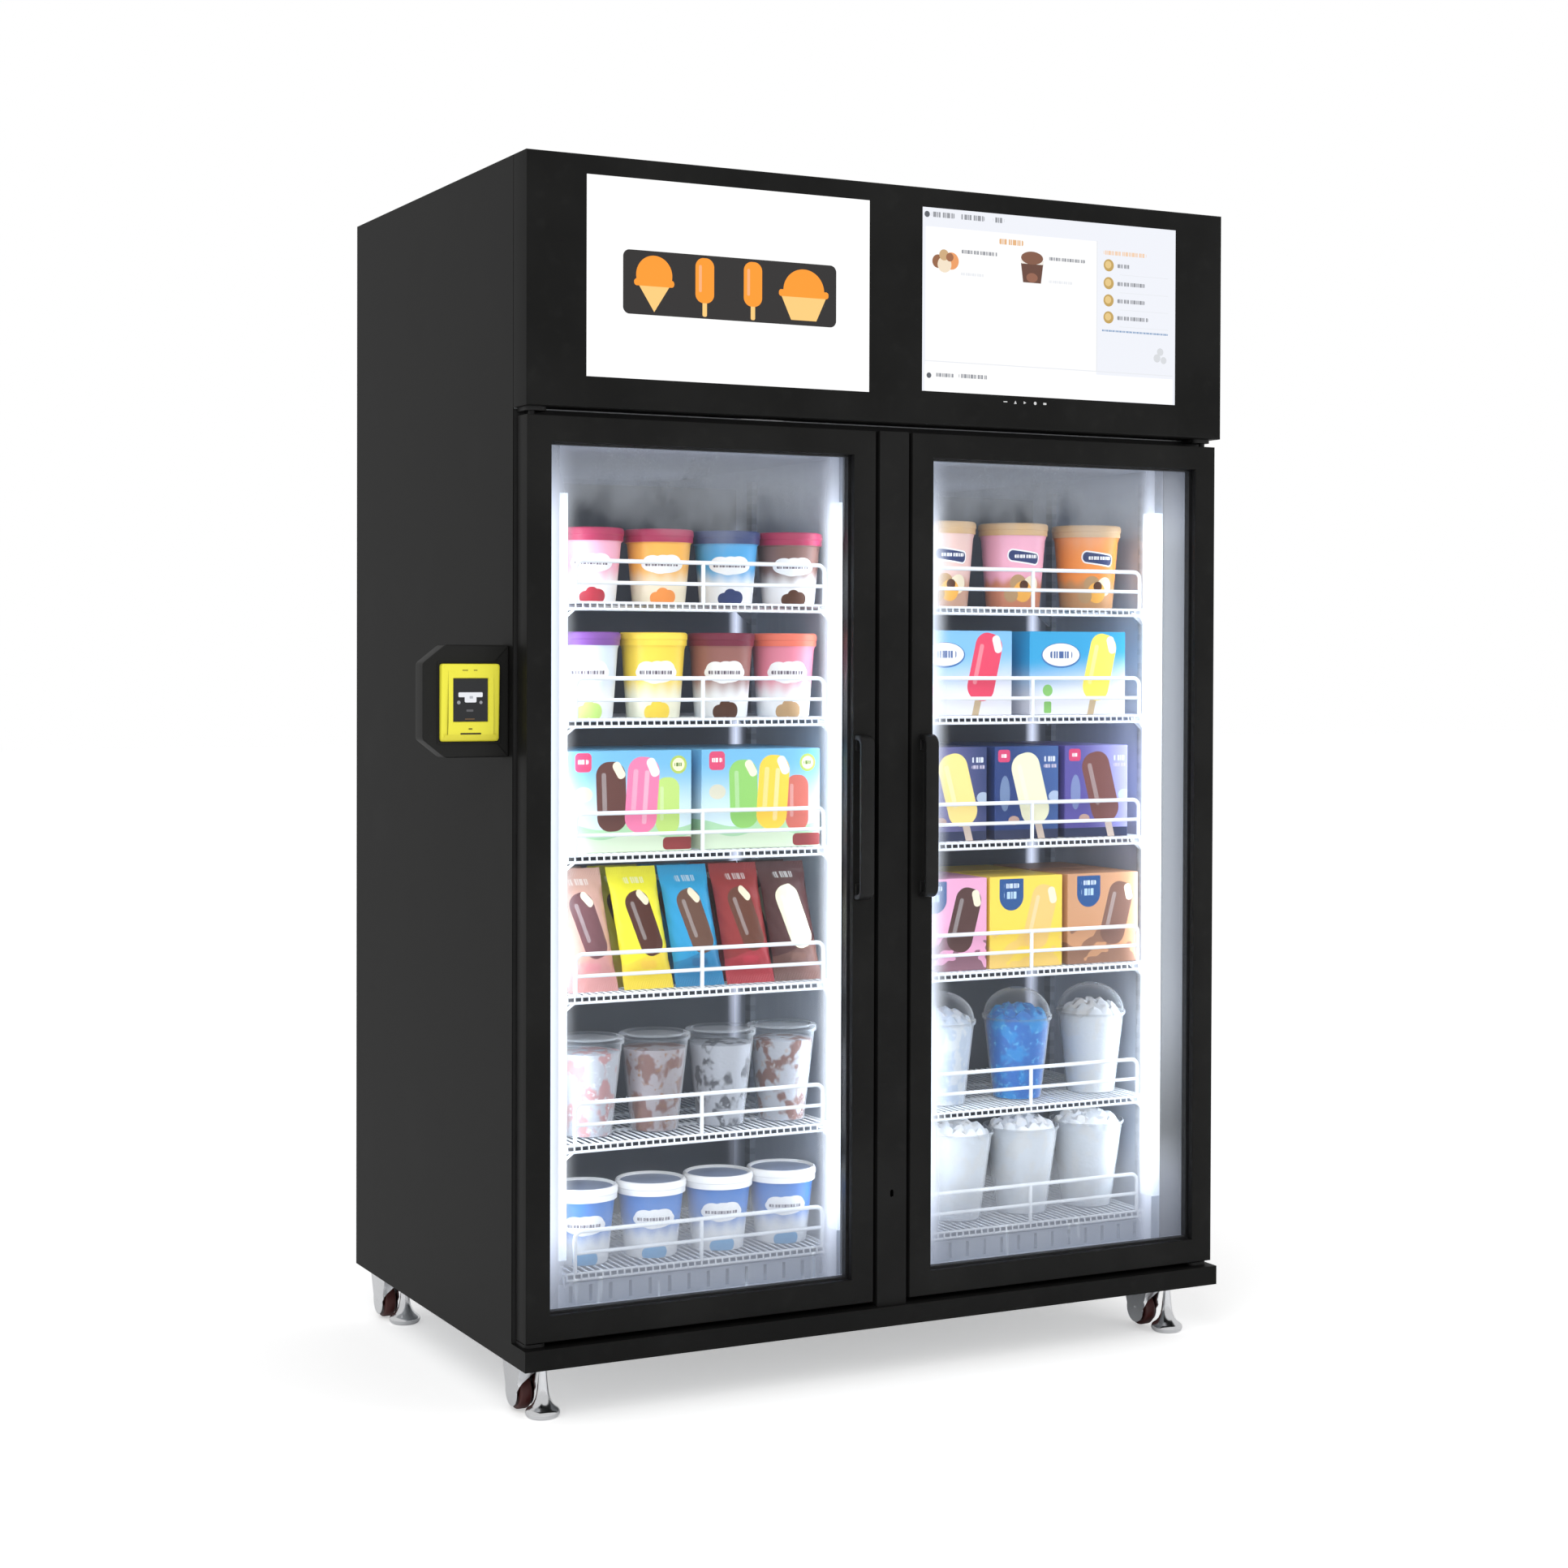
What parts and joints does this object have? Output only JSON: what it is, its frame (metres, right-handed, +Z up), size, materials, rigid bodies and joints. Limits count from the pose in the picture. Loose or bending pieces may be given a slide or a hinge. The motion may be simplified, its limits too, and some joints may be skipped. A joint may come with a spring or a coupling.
{
  "type": "vending freezer",
  "caption": "Upright vending freezer with glass doors, lit wire shelves, header screens, a side payment terminal and levelling casters.",
  "frame": {"origin": "centre of the whole part's bounding box, on the floor under the feet", "axes": "+Z up, -Y out of the doors, +X to the right for someone facing the doors"},
  "size_m": [1.424, 0.832, 1.94],
  "materials": {
    "black_shell": "satin",
    "zinc": "satin",
    "black_frame": "satin",
    "foam": "matte",
    "liner": "satin",
    "face_frame": "satin",
    "grey_sheet": "satin",
    "fins": "satin",
    "black_metal": "satin",
    "black_plastic": "satin",
    "copper": "satin",
    "screen": "gloss",
    "reader_yellow": "satin",
    "reader_screen": "gloss",
    "white_wire": "satin",
    "diffuser": "satin",
    "glass": "gloss",
    "spacer": "satin",
    "gasket": "matte",
    "handle": "satin",
    "steel": "satin",
    "plated": "polished",
    "wheel": "satin"
  },
  "bodies": {
    "cabinet": {"side_panels": "black_shell", "top_panel": "black_shell", "back_panel": "zinc", "base_tray": "zinc", "plinth": "black_shell", "header_fascia": "black_shell", "rear_grille": "black_shell", "foam_insulation": "foam", "liners": "liner", "front_frame": "face_frame", "centre_pillar": "black_frame", "lock_magnets": "steel", "air_duct_panels": "grey_sheet", "return_grilles": "liner", "evaporator_coils": "fins", "evaporator_fan_decks": "zinc", "compressor": "black_metal", "condenser_coil": "fins", "condenser_shroud": "zinc", "refrigerant_lines": "copper", "control_box": "zinc", "power_inlet": "black_plastic", "left_display": "screen", "right_touchscreen": "screen", "terminal_housing": "black_plastic", "terminal_reader": "reader_yellow", "terminal_screen": "reader_screen", "shelves_left": "white_wire", "shelves_right": "white_wire", "shelf_guards": "white_wire", "shelf_clips": "white_wire", "shelf_standards": "grey_sheet", "led_bars": "diffuser", "hinge_plates": "steel", "caster_brackets": "plated"},
    "left_door": {"left_door_frame": "black_frame", "left_door_panes": "glass", "left_glass_spacer": "spacer", "left_door_gasket": "gasket", "left_door_handle": "handle", "left_armature_plate": "steel", "left_hinge_pins": "steel"},
    "right_door": {"right_door_frame": "black_frame", "right_door_panes": "glass", "right_glass_spacer": "spacer", "right_door_gasket": "gasket", "right_door_handle": "handle", "right_armature_plate": "steel", "right_hinge_pins": "steel"},
    "condenser_fan": {"condenser_fan": "black_plastic"},
    "evaporator_fan_left": {"evaporator_fan_left": "black_plastic"},
    "evaporator_fan_right": {"evaporator_fan_right": "black_plastic"},
    "wheel_front_left": {"wheel_front_left": "wheel"},
    "foot_front_left": {"foot_front_left": "plated"},
    "wheel_front_right": {"wheel_front_right": "wheel"},
    "foot_front_right": {"foot_front_right": "plated"},
    "wheel_back_left": {"wheel_back_left": "wheel"},
    "foot_back_left": {"foot_back_left": "plated"},
    "wheel_back_right": {"wheel_back_right": "wheel"},
    "foot_back_right": {"foot_back_right": "plated"}
  },
  "joints": [
    {"name": "left_door_hinge", "type": "hinge", "parent": "cabinet", "child": "left_door", "pos_m": [-0.554, -0.371, 0.13], "axis": [0, 0, -1], "range_deg": [0, 110], "stiffness_Nm_per_rad": 2},
    {"name": "right_door_hinge", "type": "hinge", "parent": "cabinet", "child": "right_door", "pos_m": [0.693, -0.371, 0.13], "axis": [0, 0, 1], "range_deg": [0, 110], "stiffness_Nm_per_rad": 2},
    {"name": "condenser_fan_spin", "type": "hinge", "parent": "cabinet", "child": "condenser_fan", "pos_m": [0.39, 0.189, 1.705], "axis": [0, 1, 0], "continuous": true},
    {"name": "evaporator_fan_left_spin", "type": "hinge", "parent": "cabinet", "child": "evaporator_fan_left", "pos_m": [-0.24075, 0.119, 1.38], "axis": [0, 1, 0], "continuous": true},
    {"name": "evaporator_fan_right_spin", "type": "hinge", "parent": "cabinet", "child": "evaporator_fan_right", "pos_m": [0.37975, 0.119, 1.38], "axis": [0, 1, 0], "continuous": true},
    {"name": "wheel_front_left_roll", "type": "hinge", "parent": "cabinet", "child": "wheel_front_left", "pos_m": [-0.535, -0.283, 0.032], "axis": [1, 0, 0], "continuous": true},
    {"name": "foot_front_left_height", "type": "slide", "parent": "cabinet", "child": "foot_front_left", "axis": [0, 0, 1], "range_m": [-0.01, 0.008]},
    {"name": "wheel_front_right_roll", "type": "hinge", "parent": "cabinet", "child": "wheel_front_right", "pos_m": [0.638, -0.283, 0.032], "axis": [1, 0, 0], "continuous": true},
    {"name": "foot_front_right_height", "type": "slide", "parent": "cabinet", "child": "foot_front_right", "axis": [0, 0, 1], "range_m": [-0.01, 0.008]},
    {"name": "wheel_back_left_roll", "type": "hinge", "parent": "cabinet", "child": "wheel_back_left", "pos_m": [-0.535, 0.364, 0.032], "axis": [1, 0, 0], "continuous": true},
    {"name": "foot_back_left_height", "type": "slide", "parent": "cabinet", "child": "foot_back_left", "axis": [0, 0, 1], "range_m": [-0.01, 0.008]},
    {"name": "wheel_back_right_roll", "type": "hinge", "parent": "cabinet", "child": "wheel_back_right", "pos_m": [0.638, 0.364, 0.032], "axis": [1, 0, 0], "continuous": true},
    {"name": "foot_back_right_height", "type": "slide", "parent": "cabinet", "child": "foot_back_right", "axis": [0, 0, 1], "range_m": [-0.01, 0.008]}
  ]
}
